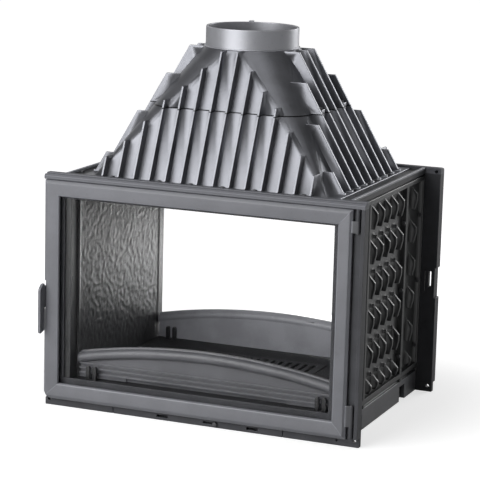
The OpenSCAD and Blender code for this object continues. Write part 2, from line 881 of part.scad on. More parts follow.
seam_lug_y = 1.5 * side_rib_pitch;
seam_lug_x = hood_half(hood_x, seam_h);
module seam_lugs(z) {
    both_sides() both_ends()
        block([seam_lug_x - 12, seam_lug_x + 16], [-seam_lug_y - 9, -seam_lug_y + 9], z);
}

module hood_hollow() {
    hood_solid(hood_wall, top_z - 0.6, neck_z - 6, bore_r + 2);
}

module lower_hood() {
    color([0.3, 0.3, 0.31]) difference() {
        union() {
            intersection() {
                hood_solid(0, top_z, neck_z, neck_r);
                block([-foot_x, foot_x], [-foot_y, foot_y], [top_z, seam_z]);
            }
            block([-foot_x, foot_x], [-foot_y, foot_y], [top_z, top_z + foot_t]);
            hood_ribs(1, seam_h);
            seam_lugs([seam_z - 26, seam_z]);
        }
        hood_hollow();
    }
}

module upper_hood() {
    color([0.3, 0.3, 0.31]) difference() {
        union() {
            intersection() {
                hood_solid(0, top_z, neck_z, neck_r);
                block([-foot_x, foot_x], [-foot_y, foot_y], [seam_z, neck_z]);
            }
            hood_ribs(seam_h, hood_h);
            seam_lugs([seam_z, seam_z + 8]);
        }
        hood_hollow();
        // The neck's hole is smaller than the collar's, so that a flue pipe stands on its edge
        translate([0, 0, neck_z - 20]) cylinder(r = bore_r - neck_ledge, h = 21, $fn = 96);
    }
}

module flue_collar() {
    color([0.45, 0.45, 0.46]) {
        translate([0, 0, neck_z]) difference() {
            union() {
                cylinder(r = collar_r, h = collar_h, $fn = 96);
                cylinder(r = collar_r + 3, h = 3, $fn = 96);
            }
            translate([0, 0, -1]) cylinder(r = bore_r, h = collar_h + 2, $fn = 96);
        }
        rotate([0, 0, 114]) block([bore_r + 1, collar_r - 1], [-6, 6], [neck_z + collar_h - 1, neck_z + collar_h + 3]);
    }
}

module baffle_bars() {
    color([0.3, 0.3, 0.3]) both_sides()
        block([bar_x - bar_t / 2, bar_x + bar_t / 2], [-hood_y + 17, hood_y - 17], [top_z, top_z + baffle_t]);
}
module baffle_plate() {
    color([0.35, 0.33, 0.3])
        block([-baffle_x, baffle_x], [-baffle_y, baffle_y], [top_z + baffle_t, top_z + 2 * baffle_t]);
}

// Fasteners
module hood_bolts() {
    color([0.5, 0.5, 0.5]) both_sides() both_ends() {
        for (x = [1, 3, 6])
            translate([x * rib_pitch, -(hood_y + foot_y) / 2 + 1, top_z + foot_t]) hex_bolt(5, 4.5, 3, 0);
        for (y = [0.5, 2.5])
            translate([foot_x - 9, -y * side_rib_pitch, top_z + foot_t]) hex_bolt(5.5, 4.5, 3, 0);
    }
}
module hood_seam_bolts() {
    color([0.5, 0.5, 0.5]) both_sides() both_ends()
        translate([seam_lug_x + 8, -seam_lug_y, seam_z + 8]) hex_bolt(5.5, 4.5, 3, 0);
}
module top_plate_bolts() {
    color([0.5, 0.5, 0.5]) both_sides() both_ends()
        translate([rib_x - top_rim - 6, -back_y + 56, top_z]) hex_bolt(5, 3.5, 3, 0);
}
module side_seam_bolts() {
    color([0.45, 0.45, 0.45]) both_sides() both_ends()
        for (r = [0, 2, 4])
            translate([seam_bolt_x, -centre_y + 5, fin_top - (r + 0.75) * fin_row_pitch])
                rotate([-90, 0, 0]) hex_bolt(5, 4, 3, 0);
}
module frame_bolts() {
    color([0.45, 0.45, 0.45]) both_sides() both_ends()
        for (r = [0, 2, 4])
            translate([seam_bolt_x, -back_y + 5, fin_top - (r + 0.75) * fin_row_pitch])
                rotate([-90, 0, 0]) hex_bolt(5, 4, 3, 0);
}

front_frame();
rear_frame();
left_front_casting();
left_centre_casting();
left_rear_casting();
right_front_casting();
right_centre_casting();
right_rear_casting();
base_tray();
hearth_plate();
top_plate();
lower_hood();
upper_hood();
flue_collar();
baffle_bars();
baffle_plate();
left_lining();
right_lining();
grate();
ash_pan();
front_log_guard();
rear_log_guard();
front_guard_brackets();
rear_guard_brackets();
front_door();
rear_door();
front_glass();
rear_glass();
front_glass_tape();
rear_glass_tape();
front_door_rope();
rear_door_rope();
front_glass_clips();
rear_glass_clips();
front_clip_screws();
rear_clip_screws();
front_hinge_pins();
rear_hinge_pins();
front_handle();
rear_handle();
front_handle_screw();
rear_handle_screw();
front_keeper_pin();
rear_keeper_pin();
front_air_slider();
rear_air_slider();
front_air_knob();
rear_air_knob();
hood_bolts();
hood_seam_bolts();
top_plate_bolts();
side_seam_bolts();
frame_bolts();
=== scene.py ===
"""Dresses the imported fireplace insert: soft-edged castings, relief linings, finishes and the stage."""
import json
import math

import bmesh
import bpy
from bpy.props import FloatProperty, FloatVectorProperty, PointerProperty
from mathutils import Matrix, Vector, noise
from mathutils.bvhtree import BVHTree


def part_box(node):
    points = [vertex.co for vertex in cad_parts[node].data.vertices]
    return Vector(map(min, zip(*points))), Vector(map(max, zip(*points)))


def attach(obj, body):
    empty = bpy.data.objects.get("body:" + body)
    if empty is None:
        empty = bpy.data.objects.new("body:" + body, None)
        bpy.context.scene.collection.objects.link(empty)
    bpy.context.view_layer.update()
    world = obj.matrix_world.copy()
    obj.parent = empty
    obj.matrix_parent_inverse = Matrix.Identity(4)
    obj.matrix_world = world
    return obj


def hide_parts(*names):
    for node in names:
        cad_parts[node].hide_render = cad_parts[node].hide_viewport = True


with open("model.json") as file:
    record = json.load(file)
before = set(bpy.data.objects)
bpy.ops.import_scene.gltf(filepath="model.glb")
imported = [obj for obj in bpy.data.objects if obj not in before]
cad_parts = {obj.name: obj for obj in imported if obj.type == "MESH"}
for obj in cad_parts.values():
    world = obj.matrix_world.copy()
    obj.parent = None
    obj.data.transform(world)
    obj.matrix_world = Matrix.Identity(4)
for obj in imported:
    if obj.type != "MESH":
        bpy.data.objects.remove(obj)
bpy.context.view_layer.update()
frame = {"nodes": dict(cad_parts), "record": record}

bl_info = {
    "name": "Fireplace insert",
    "version": (1, 0, 0),
    "blender": (4, 5, 0),
    "location": "3D View > Sidebar > Insert",
    "description": "Adds the dressed pieces of a double-sided fireplace insert, and a plain stage",
    "category": "Object",
}

BODY_OF = {node: body for body, nodes in frame["record"]["behaviour"]["bodies"].items() for node in nodes}
SIDES = ("front", "rear")

# Noises of the finishes: cells per metre, detail and roughness
TONE_NOISE = (16.0, 4.0, 0.55)
SAND_NOISE = (620.0, 3.0, 0.65)
PIT_NOISE = (170.0, 2.0, 0.5)
SOOT_NOISE = (7.0, 5.0, 0.6)
SPOT_NOISE = (240.0, 3.0, 0.6)
TURNING_NOISE = (900.0, 2.0, 0.5)
HAZE_NOISE = (5.0, 3.0, 0.6)

# The part of a noise over which its layer fades in
TONE_RANGE = (0.32, 0.68)
PIT_RANGE = (0.60, 0.78)
SOOT_RANGE = (0.42, 0.70)
SPOT_RANGE = (0.45, 0.75)

# How far a layer covers the colour at most
PIT_COVER = 0.22
SPOT_COVER = 0.5

# Tones of the layers, as shares of the finish's colour
PIT_TONE = 0.5
SOOT_TONE = 0.35
SEAM_SHADOW_TONE = 0.06
SPOT_TONE = 0.55
STRAND_LOW_TONE = 0.5
STRAND_TOP_TONE = 1.3

# How much a layer changes the roughness about the noise's middle
NOISE_MIDDLE = 0.5
TONE_SHEEN = 0.14
SAND_SHEEN = 0.10
SPOT_SHEEN = 0.2

# Fine bumps: the weights of sand and pits, the strengths, and the heights in metres
SAND_WEIGHT = 0.6
PIT_WEIGHT = 0.8
GRAIN_STRENGTH = 0.32
GRAIN_HEIGHT = 0.0004
TURNING_STRENGTH = 0.15
TURNING_HEIGHT = 0.0002
STRAND_STRENGTH = 0.8
STRAND_HEIGHT = 0.0008

# The turning marks' scales along the three axes, and the strands' bands and wobble
TURNING_STRETCH = (1.0, 0.15, 1.0)
STRAND_SCALE = 150.0
STRAND_WOBBLE = 0.6

# Glass shows this much at least, and this much more where its haze is thick
GLASS_ALPHA = 0.02
HAZE_ALPHA = 0.02

# The painted shadow line at a seam is full up to the first distance from it, and gone at the second
SEAM_SHADOW_FULL = 0.0006
SEAM_SHADOW_GONE = 0.0016

# Edges, lighter from wear and from a painted highlight, are smoother than the faces by this much, and have
# this share of their grain
EDGE_SMOOTHER = 0.08
EDGE_GRAIN = 0.5

# Angles between faces, in degrees
SHARP_ANGLE = 32.0
SMOOTH_ANGLE = 46.0
RELIEF_SMOOTH_ANGLE = 50.0
FLAT_ANGLE = 0.4

# Points closer together than this are at the same place
SAME_PLACE = 0.00001
# A vertex of a rounded edge that lies farther off than this many radii has gone astray
STRAY_RADII = 1.1

# The hammered relief: cuts across a lining, the width of its run-in at the border, and where that starts
RELIEF_CUTS = 190
RELIEF_RUN_IN = 0.006
RELIEF_START = 0.15
# Its bumps: their tilt, their length in widths, the field that bends them, and their steepness
RELIEF_TILT = (0.86, 0.35)
BUMP_LENGTH = 2.4
BEND_WIDTH = 0.05
BEND = 0.55
BUMP_GAIN = 1.1
# The swell under the bumps, in bump widths, and the shares of both in the height
SWELL_SIZE = (1.6, 1.1)
BUMP_SHARE = 0.62
SWELL_SHARE = 0.38
# Places in the noises, so that the linings, the bends and the swell differ from each other
RELIEF_SEED = 11.0
BEND_SEED = 7.0
SWELL_SEED = 3.0
# Seed of the bends' random draw
BEND_DRAW = 5

# Lamps: name, azimuth and elevation in degrees, distance, width, height, and the property with the power
LAMPS = (
    ("Key lamp", -113, 22, 2.8, 2.4, 2.7, "key"),
    ("Side lamp", 62, 15, 2.5, 1.2, 1.4, "side"),
    ("Rear lamp", 93, -21, 0.95, 0.24, 0.20, "rear"),
    ("Top lamp", -100, 80, 2.4, 1.6, 1.0, "top"),
)
LAMP_AIM = (0, 0, 0.45)

# The floor's size and own colour, and its glow near the object, which grows to 1 between two distances
FLOOR_SIZE = 80
FLOOR_COLOUR = (0.60, 0.60, 0.60, 1.0)
GLOW_NEAR = 0.66
GLOW_RANGE = (0.4, 1.0)
# The rise of a direction over which the white seen in a gloss fades towards the ceiling
FADE_RANGE = (0.1, 0.5)
WHITE = (1.0, 1.0, 1.0, 1.0)

# The camera, fitted to the photograph, with its angles in degrees
CAMERA_PLACE = (1.7119, -4.2010, 1.2589)
CAMERA_YAW = -22.368
CAMERA_PITCH = -11.282
CAMERA_ROLL = 1.492
CAMERA_REACH = 100.0
FOCAL_PIXELS = 2121.0
PICTURE_PIXELS = 480
SENSOR_WIDTH = 36.0


# Sizes, colours and strengths that can be changed in the sidebar

def length(name, text, default):
    return FloatProperty(name=name, description=text, default=default, min=0.0, unit="LENGTH", precision=4)


def colour(name, text, default):
    return FloatVectorProperty(name=name, description=text, default=default, size=3, min=0.0, max=1.0,
                               subtype="COLOR")


def share(name, text, default):
    return FloatProperty(name=name, description=text, default=default, min=0.0, max=1.0, subtype="FACTOR")


def power(name, text, default):
    return FloatProperty(name=name, description=text, default=default, min=0.0, unit="POWER")


class INSERT_PG_sizes(bpy.types.PropertyGroup):
    """Sizes of the details that are added to the castings"""
    wall_edge: length("Side casting edge", "Radius on the edges of the side castings and their fins", 0.0014)
    hood_edge: length("Hood edge", "Radius on the edges of the hood and its fins", 0.0009)
    collar_edge: length("Collar edge", "Radius on the edges of the flue collar", 0.0012)
    frame_edge: length("Frame edge", "Radius on the edges of the two frames", 0.0006)
    door_edge: length("Door edge", "Radius on the edges of the two doors", 0.0009)
    rope_edge: length("Rope edge", "Radius on the edges of the doors' rope seals", 0.0022)
    plate_edge: length("Plate edge", "Radius on the edges of the base, hearth, top and baffle plates", 0.0012)
    hearth_edge: length("Grate edge", "Radius on the edges of the grate", 0.0015)
    guard_edge: length("Guard edge", "Radius on the edges of the log guards", 0.0008)
    handle_edge: length("Handle edge", "Radius on the edges of the handles", 0.0014)
    small_edge: length("Small edge", "Radius on the edges of fasteners, knobs, forks and the ash pan", 0.0004)
    relief: length("Lining relief", "Height of the hammered relief on the linings", 0.0032)
    relief_bump: length("Relief bump", "Usual width of one bump of the hammered relief", 0.0065)
    relief_border: length("Relief border", "Width of the plain border round the relief", 0.004)


class INSERT_PG_colours(bpy.types.PropertyGroup):
    """Colours of the finishes"""
    body_iron: colour("Body iron", "Side castings and baffle", (0.016, 0.017, 0.018))
    top_iron: colour("Top plate iron", "Top plate, which lies under the hood", (0.042, 0.043, 0.047))
    frame_iron: colour("Frame iron", "Front and rear frames", (0.054, 0.055, 0.061))
    door_iron: colour("Door iron", "Doors and handles", (0.150, 0.153, 0.169))
    hood_iron: colour("Hood iron", "Lower and upper hood", (0.200, 0.204, 0.222))
    collar_iron: colour("Collar iron", "Flue collar", (0.290, 0.294, 0.316))
    lining_iron: colour("Lining iron", "Side linings with the hammered relief", (0.060, 0.060, 0.063))
    hearth_iron: colour("Hearth iron", "Guards, forks, grate, hearth plate and base", (0.075, 0.076, 0.083))
    steel: colour("Steel", "Fasteners, pins, clips, knobs and sliders", (0.120, 0.120, 0.126))
    sheet: colour("Sheet steel", "Ash pan", (0.160, 0.160, 0.165))
    rope: colour("Rope", "Glass-fibre seals and tape of the doors", (0.100, 0.100, 0.100))
    glass: colour("Glass", "Tint of the doors' glass", (0.030, 0.032, 0.034))


class INSERT_PG_stage(bpy.types.PropertyGroup):
    """Strengths of the lamps, and of what shows in a gloss"""
    key: power("Key lamp", "Power of the very large lamp at the front left", 92.0)
    side: power("Side lamp", "Power of the lamp at the rear right", 22.0)
    rear: power("Rear lamp", "Power of the small, low lamp behind the rear door", 1.0)
    top: power("Top lamp", "Power of the lamp overhead", 8.0)
    ambient: share("Ambient", "Strength of the light that comes from all round", 0.03)
    gloss: share("Floor in gloss", "Share of the floor's brightness that shows in a gloss", 0.25)
    ceiling: share("Ceiling in gloss", "Share of the white that shows in a gloss straight above", 0.1)


def sizes():
    return bpy.context.scene.insert_sizes


def shades():
    return bpy.context.scene.insert_colours


# Shader maths

class Value:
    """A node's output that can stand in a Python sum, which then becomes Math nodes."""

    def __init__(self, finish, socket):
        self.finish = finish
        self.socket = socket

    def math(self, operation, *terms):
        return self.finish.node("ShaderNodeMath", {"operation": operation}, dict(enumerate(terms)))

    def __add__(self, other):
        return self.math("ADD", self, other)

    def __radd__(self, other):
        return self.math("ADD", other, self)

    def __sub__(self, other):
        return self.math("SUBTRACT", self, other)

    def __rsub__(self, other):
        return self.math("SUBTRACT", other, self)

    def __mul__(self, other):
        return self.math("MULTIPLY", self, other)

    def __rmul__(self, other):
        return self.math("MULTIPLY", other, self)

    def __abs__(self):
        return self.math("ABSOLUTE", self)

    def clamped(self):
        return self.finish.node("ShaderNodeClamp", {}, {"Value": self})

    def ramp(self, low, high):
        """0 below low, 1 above high, and a soft step between."""
        return self.finish.node("ShaderNodeMapRange", {"interpolation_type": "SMOOTHSTEP"},
                                {"Value": self, "From Min": low, "From Max": high})


class Finish:
    """The nodes of a material, or of the world, while they are being added."""

    def __init__(self, owner, coordinates="Object", end="ShaderNodeOutputMaterial"):
        owner.use_nodes = True
        self.owner = owner
        self.end = end
        self.tree = owner.node_tree
        self.tree.nodes.clear()
        self.place = self.node("ShaderNodeTexCoord", output=coordinates)

    def node(self, kind, settings=None, values=None, output=0):
        """Adds a node with its settings, fills the named sockets by number or link, and gives an output."""
        new = self.tree.nodes.new(kind)
        for key, setting in (settings or {}).items():
            setattr(new, key, setting)
        for key, value in (values or {}).items():
            if isinstance(value, Value):
                self.tree.links.new(value.socket, new.inputs[key])
            else:
                new.inputs[key].default_value = value
        return Value(self, new.outputs[output]) if new.outputs else None

    def noise(self, layer, place=None):
        scale, detail, rough = layer
        return self.node("ShaderNodeTexNoise", {}, {"Vector": place or self.place, "Scale": scale,
                                                    "Detail": detail, "Roughness": rough})

    def along(self, axis):
        """The coordinate along the axis with this letter."""
        return self.node("ShaderNodeSeparateXYZ", {}, {"Vector": self.place}, output="XYZ".index(axis))

    def stretched(self, factors):
        return self.node("ShaderNodeVectorMath", {"operation": "MULTIPLY"}, {0: self.place, 1: factors})

    def blend(self, factor, first, second):
        """Mixes two colours, which are sockets 6 and 7 of the node."""
        values = {0: factor}
        for index, shade in ((6, first), (7, second)):
            values[index] = shade if isinstance(shade, Value) else (*shade, 1.0)
        return self.node("ShaderNodeMix", {"data_type": "RGBA"}, values, output=2)

    def bump(self, height, strength, distance):
        return self.node("ShaderNodeBump", {}, {"Height": height, "Strength": strength, "Distance": distance})

    def surface(self, values):
        """Closes the material with one shader for the whole surface."""
        if not isinstance(values["Base Color"], Value):
            values["Base Color"] = (*values["Base Color"], 1.0)
        return self.close(self.node("ShaderNodeBsdfPrincipled", {}, values))

    def close(self, shader):
        """Links the last shader to the output, and returns the material or the world."""
        self.node(self.end, {}, {"Surface": shader})
        return self.owner


def new_finish(name):
    return Finish(bpy.data.materials.new(name))


def scaled(shade, factor):
    return tuple(min(1.0, part * factor) for part in shade)


# Finishes

def iron(name, shade, rough, grain, mottle, specular, edge=1.0, soot=0.0, seam=None, metal=0.0, patch=None):
    """Painted cast iron: sand grain, slow changes of tone, low spots, painted light and shade in a band, and
    a painted shadow line at a seam's height.
    """
    finish = new_finish(name)
    slow = finish.noise(TONE_NOISE)
    sand = finish.noise(SAND_NOISE)
    pits = finish.noise(PIT_NOISE)
    # edge makes the colour of rounded edges lighter, as wear and as a painted highlight
    dark, pale = (scaled(shade, (1 + change) * edge) for change in (-mottle, mottle))
    tone = finish.blend(slow.ramp(*TONE_RANGE), dark, pale)
    tone = finish.blend(pits.ramp(*PIT_RANGE) * PIT_COVER, tone, scaled(shade, PIT_TONE))
    if soot:
        tone = finish.blend(finish.noise(SOOT_NOISE).ramp(*SOOT_RANGE) * soot, tone, scaled(shade, SOOT_TONE))
    # Painted light and shade: a band made lighter or darker because of where light falls
    if patch:
        axis, low, high, factor = patch
        tone = finish.blend(finish.along(axis).ramp(low, high), tone, scaled(shade, factor * edge))
    # A painted shadow line along the seam between the hood's castings
    if seam:
        off = abs(finish.along("Z") - seam)
        tone = finish.blend(off.ramp(SEAM_SHADOW_FULL, SEAM_SHADOW_GONE), scaled(shade, SEAM_SHADOW_TONE), tone)
    uneven = rough + (slow - NOISE_MIDDLE) * TONE_SHEEN + (sand - NOISE_MIDDLE) * SAND_SHEEN
    normal = finish.bump(sand * SAND_WEIGHT + pits * PIT_WEIGHT, GRAIN_STRENGTH * grain, GRAIN_HEIGHT)
    return finish.surface({"Base Color": tone, "Roughness": uneven.clamped(), "Normal": normal,
                           "Specular IOR Level": specular, "Metallic": metal})


def pair(name, shade, rough, grain=1.0, mottle=0.14, specular=0.5, wear_and_highlight=1.5, soot=0.0, **more):
    """The finishes of a casting's faces and of its edges, whose colour is wear_and_highlight times the
    faces': wear and a painted highlight.
    """
    face = iron(name, shade, rough, grain, mottle, specular, soot=soot, **more)
    worn_and_highlit = iron(name + "_edges", shade, rough - EDGE_SMOOTHER, grain * EDGE_GRAIN, mottle, specular,
                edge=wear_and_highlight, **more)
    return face, worn_and_highlit


def patch_near(node, axis, start, full, factor):
    """A change of colour for painted highlights and painted shade, which starts and is full at two depths
    below a node's top, or inside its right.
    """
    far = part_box(node)[1]["XYZ".index(axis)]
    return axis, far - start, far - full, factor


def bare_steel(name, shade, rough, metal=1.0):
    """Dull steel with fine turning marks and a few darker spots."""
    finish = new_finish(name)
    spots = finish.noise(SPOT_NOISE)
    marks = finish.noise(TURNING_NOISE, finish.stretched(TURNING_STRETCH))
    tone = finish.blend(spots.ramp(*SPOT_RANGE) * SPOT_COVER, shade, scaled(shade, SPOT_TONE))
    return finish.surface({"Base Color": tone, "Roughness": rough + (spots - NOISE_MIDDLE) * SPOT_SHEEN,
                           "Metallic": metal, "Normal": finish.bump(marks, TURNING_STRENGTH, TURNING_HEIGHT)})


def dull_steel():
    """The steel of the small pieces, which is made once."""
    return bpy.data.materials.get("dull_steel") or bare_steel("dull_steel", shades().steel, rough=0.45)


def braid(name, shade):
    """Braided glass fibre: strands that cross both ways."""
    finish = new_finish(name)
    across, back = (finish.node("ShaderNodeTexWave", {"wave_type": "BANDS", "bands_direction": "DIAGONAL"},
                                {"Vector": finish.stretched((way, 1.0, 1.0)), "Scale": STRAND_SCALE,
                                 "Distortion": STRAND_WOBBLE})
                    for way in (1.0, -1.0))
    weave = across * 0.5 + back * 0.5
    tone = finish.blend(weave, scaled(shade, STRAND_LOW_TONE), scaled(shade, STRAND_TOP_TONE))
    return finish.surface({"Base Color": tone, "Roughness": 0.9,
                           "Normal": finish.bump(weave, STRAND_STRENGTH, STRAND_HEIGHT)})


def clear_glass(name, shade):
    """Clear ceramic glass with a faint haze."""
    finish = new_finish(name)
    alpha = GLASS_ALPHA + finish.noise(HAZE_NOISE) * HAZE_ALPHA
    return finish.surface({"Base Color": shade, "Roughness": 0.02, "Alpha": alpha, "Specular IOR Level": 0.5})


# Modelling

def only(piece):
    """Makes one object the only selected and active one."""
    if bpy.context.object and bpy.context.object.mode != "OBJECT":
        bpy.ops.object.mode_set(mode="OBJECT")
    bpy.ops.object.select_all(action="DESELECT")
    piece.hide_set(False)
    piece.select_set(True)
    bpy.context.view_layer.objects.active = piece


def apply_modifiers(piece):
    only(piece)
    for name in [modifier.name for modifier in piece.modifiers]:
        bpy.ops.object.modifier_apply(modifier=name)


def mark_outer_edges(piece):
    """Gives full bevel weight to the sharp edges that stand out, and none to those in a corner."""
    only(piece)
    bpy.ops.object.mode_set(mode="EDIT")
    bpy.ops.mesh.select_mode(type="EDGE")
    bpy.ops.mesh.select_all(action="DESELECT")
    mesh = bmesh.from_edit_mesh(piece.data)
    for edge in mesh.edges:
        if len(edge.link_faces) == 2 and edge.calc_face_angle_signed(0.0) > math.radians(SHARP_ANGLE):
            edge.select_set(True)
    bmesh.update_edit_mesh(piece.data)
    bpy.ops.transform.edge_bevelweight(value=1.0)
    bpy.ops.object.mode_set(mode="OBJECT")


def round_edges(piece, radius, segments):
    """Rounds the marked edges; the new strips take the piece's second material, the lighter one of wear and
    painted highlight.
    """
    bevel = piece.modifiers.new("Rounded edges", "BEVEL")
    bevel.width = radius
    bevel.segments = segments
    bevel.limit_method = "WEIGHT"
    bevel.use_clamp_overlap = False
    bevel.material = 1
    plain = BVHTree.FromPolygons([vertex.co.copy() for vertex in piece.data.vertices],
                                 [tuple(face.vertices) for face in piece.data.polygons])
    apply_modifiers(piece)
    for vertex in piece.data.vertices:
        near, normal, index, distance = plain.find_nearest(vertex.co)
        if distance > radius * STRAY_RADII:
            vertex.co = near


def smooth_faces(piece):
    """Shades the rounded edges smoothly, and keeps the flat faces flat."""
    level = piece.modifiers.new("Flat faces", "WEIGHTED_NORMAL")
    level.keep_sharp = True
    only(piece)
    bpy.ops.object.shade_smooth_by_angle(angle=math.radians(SMOOTH_ANGLE))
    apply_modifiers(piece)


def settle(piece, node):
    """Puts a finished piece on a node's body, and lets it stand for the node."""
    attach(piece, BODY_OF[node])
    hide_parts(node)


def casting(node, radius, face, worn_and_highlit=None, segments=2):
    """A copy of a CAD node with rounded edges, which stands for the node."""
    mesh = frame["nodes"][node].data.copy()
    mesh.name = "soft_" + node
    piece = bpy.data.objects.new("soft_" + node, mesh)
    bpy.context.scene.collection.objects.link(piece)
    only(piece)
    bpy.ops.object.mode_set(mode="EDIT")
    bpy.ops.mesh.select_all(action="SELECT")
    bpy.ops.mesh.remove_doubles(threshold=SAME_PLACE)
    bpy.ops.mesh.tris_convert_to_quads(face_threshold=math.radians(FLAT_ANGLE), shape_threshold=math.pi)
    bpy.ops.object.mode_set(mode="OBJECT")
    mesh.materials.clear()
    mesh.materials.append(face)
    mesh.materials.append(worn_and_highlit or face)
    mark_outer_edges(piece)
    round_edges(piece, radius, segments)
    smooth_faces(piece)
    settle(piece, node)


def paint(node, material):
    """Gives a CAD node that stays its finish."""
    slots = frame["nodes"][node].data.materials
    slots.clear()
    slots.append(material)


# Pieces

class INSERT_OT_frames(bpy.types.Operator):
    """Front and rear frame castings, with a painted highlight on the cornice"""
    bl_idname = "insert.frames"
    bl_label = "Frames"

    def execute(self, context):
        # The frames' top band is painted lighter: a painted highlight where light falls from above
        cornice_painted_highlight = patch_near("front_frame", "Z", start=0.0140, full=0.0128, factor=2.4)
        finish = pair("frame_iron", shades().frame_iron, rough=0.50, grain=0.5, specular=0.24, patch=cornice_painted_highlight)
        for side in SIDES:
            casting(side + "_frame", sizes().frame_edge, *finish)
        return {"FINISHED"}


class INSERT_OT_doors(bpy.types.Operator):
    """Front and rear door castings, with painted shade on the hinge knuckles"""
    bl_idname = "insert.doors"
    bl_label = "Doors"

    def execute(self, context):
        # The hinge knuckles at the doors' right end are painted darker, as painted shade
        knuckle_painted_shade = patch_near("front_door", "X", start=0.0165, full=0.0135, factor=0.35)
        finish = pair("door_iron", shades().door_iron, rough=0.44, grain=0.35, mottle=0.06, patch=knuckle_painted_shade)
        for side in SIDES:
            casting(side + "_door", sizes().door_edge, *finish)
        return {"FINISHED"}


class INSERT_OT_glazing(bpy.types.Operator):
    """Glass, its tape, the rope seals, the clips and their screws"""
    bl_idname = "insert.glazing"
    bl_label = "Glazing"

    def execute(self, context):
        glass = clear_glass("clear_glass", shades().glass)
        rope = braid("braided_rope", shades().rope)
        screw_edge = sizes().small_edge * 0.6
        for side in SIDES:
            paint(side + "_glass", glass)
            paint(side + "_glass_tape", rope)
            casting(side + "_door_rope", sizes().rope_edge, rope, segments=3)
            casting(side + "_glass_clips", sizes().small_edge, dull_steel())
            casting(side + "_clip_screws", screw_edge, dull_steel())
        return {"FINISHED"}


class INSERT_OT_handles(bpy.types.Operator):
    """Handles, their screws and the keeper pins"""
    bl_idname = "insert.handles"
    bl_label = "Handles"

    def execute(self, context):
        finish = pair("handle_iron", shades().door_iron, rough=0.36, grain=0.4, mottle=0.06)
        for side in SIDES:
            casting(side + "_handle", sizes().handle_edge, *finish, segments=3)
            casting(side + "_handle_screw", sizes().small_edge, dull_steel())
            casting(side + "_keeper_pin", sizes().small_edge, dull_steel())
        return {"FINISHED"}


class INSERT_OT_hinges(bpy.types.Operator):
    """Hinge pins"""
    bl_idname = "insert.hinges"
    bl_label = "Hinge pins"

    def execute(self, context):
        for side in SIDES:
            casting(side + "_hinge_pins", sizes().small_edge, dull_steel())
        return {"FINISHED"}


class INSERT_OT_air_controls(bpy.types.Operator):
    """Air sliders and their knobs"""
    bl_idname = "insert.air_controls"
    bl_label = "Air controls"

    def execute(self, context):
        dark_steel = bare_steel("slider_steel", scaled(shades().steel, factor=0.35), rough=0.55)
        slider_edge = sizes().small_edge * 0.5
        for side in SIDES:
            casting(side + "_air_slider", slider_edge, dark_steel)
            casting(side + "_air_knob", sizes().small_edge, dull_steel())
        return {"FINISHED"}


class INSERT_OT_side_castings(bpy.types.Operator):
    """The six finned side castings"""
    bl_idname = "insert.side_castings"
    bl_label = "Side castings"

    def execute(self, context):
        finish = pair("body_iron", shades().body_iron, rough=0.42, mottle=0.2, specular=0.8, wear_and_highlight=2.2)
        for side in ("left", "right"):
            for place in ("front", "centre", "rear"):
                casting(side + "_" + place + "_casting", sizes().wall_edge, *finish)
        return {"FINISHED"}


class INSERT_OT_plates(bpy.types.Operator):
    """Base tray, sooted hearth plate, and top plate with a painted highlight on its raised rim"""
    bl_idname = "insert.plates"
    bl_label = "Plates"

    def execute(self, context):
        tray = pair("base_iron", scaled(shades().hearth_iron, factor=1.5), rough=0.42, grain=0.8, mottle=0.16,
                    specular=0.9, wear_and_highlight=1.8)
        hearth = pair("hearth_plate_iron", scaled(shades().hearth_iron, factor=0.4), rough=0.6, grain=1.2,
                      mottle=0.2, specular=0.2, wear_and_highlight=1.3, soot=0.5)
        # The raised rim's top is painted lighter, a painted highlight from the light above
        rim_painted_highlight = patch_near("top_plate", "Z", start=0.0053, full=0.0035, factor=7.0)
        top = pair("top_iron", shades().top_iron, rough=0.46, grain=0.8, specular=0.3, patch=rim_painted_highlight)
        for node, finish in (("base_tray", tray), ("hearth_plate", hearth), ("top_plate", top)):
            casting(node, sizes().plate_edge, *finish)
        return {"FINISHED"}


class INSERT_OT_hood(bpy.types.Operator):
    """The two castings of the hood, in a paint with a metallic sheen"""
    bl_idname = "insert.hood"
    bl_label = "Hood"

    def execute(self, context):
        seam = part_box("upper_hood")[0].z
        finish = pair("hood_iron", shades().hood_iron, rough=0.42, grain=0.6, mottle=0.10, wear_and_highlight=1.4,
                      seam=seam, metal=0.93)
        for node in ("lower_hood", "upper_hood"):
            casting(node, sizes().hood_edge, *finish)
        return {"FINISHED"}


class INSERT_OT_collar(bpy.types.Operator):
    """Flue collar"""
    bl_idname = "insert.collar"
    bl_label = "Flue collar"

    def execute(self, context):
        finish = pair("collar_iron", shades().collar_iron, rough=0.43, grain=0.25, mottle=0.04, specular=0.8,
                      metal=0.7)
        casting("flue_collar", sizes().collar_edge, *finish)
        return {"FINISHED"}


class INSERT_OT_baffle(bpy.types.Operator):
    """Baffle plate and the bars under it"""
    bl_idname = "insert.baffle"
    bl_label = "Baffle"

    def execute(self, context):
        finish = pair("baffle_iron", shades().body_iron, rough=0.6, mottle=0.25, specular=0.3, wear_and_highlight=1.3,
                      soot=0.6)
        for node in ("baffle_bars", "baffle_plate"):
            casting(node, sizes().plate_edge, *finish)
        return {"FINISHED"}


def relief_height(y, z, seed):
    """Height from 0 to 1 of the hammered relief: long, tilted bumps of different sizes."""
    wide = sizes().relief_bump
    along, aside = RELIEF_TILT
    turned = Vector((y * along + z * aside, z * along - y * aside, seed))
    bent = noise.noise_vector(Vector((y / BEND_WIDTH, z / BEND_WIDTH, seed + BEND_SEED)))
    place = Vector((turned.x / (wide * BUMP_LENGTH) + bent.x * BEND, turned.y / wide + bent.y * BEND, seed))
    near, next_near = noise.voronoi(place)[0][:2]
    bump = min(1.0, (next_near - near) * BUMP_GAIN)
    swell_y, swell_z = (wide * size for size in SWELL_SIZE)
    swell = 0.5 + 0.5 * noise.noise(Vector((y / swell_y, z / swell_z, seed + SWELL_SEED)))
    return BUMP_SHARE * math.sqrt(bump) + SWELL_SHARE * swell


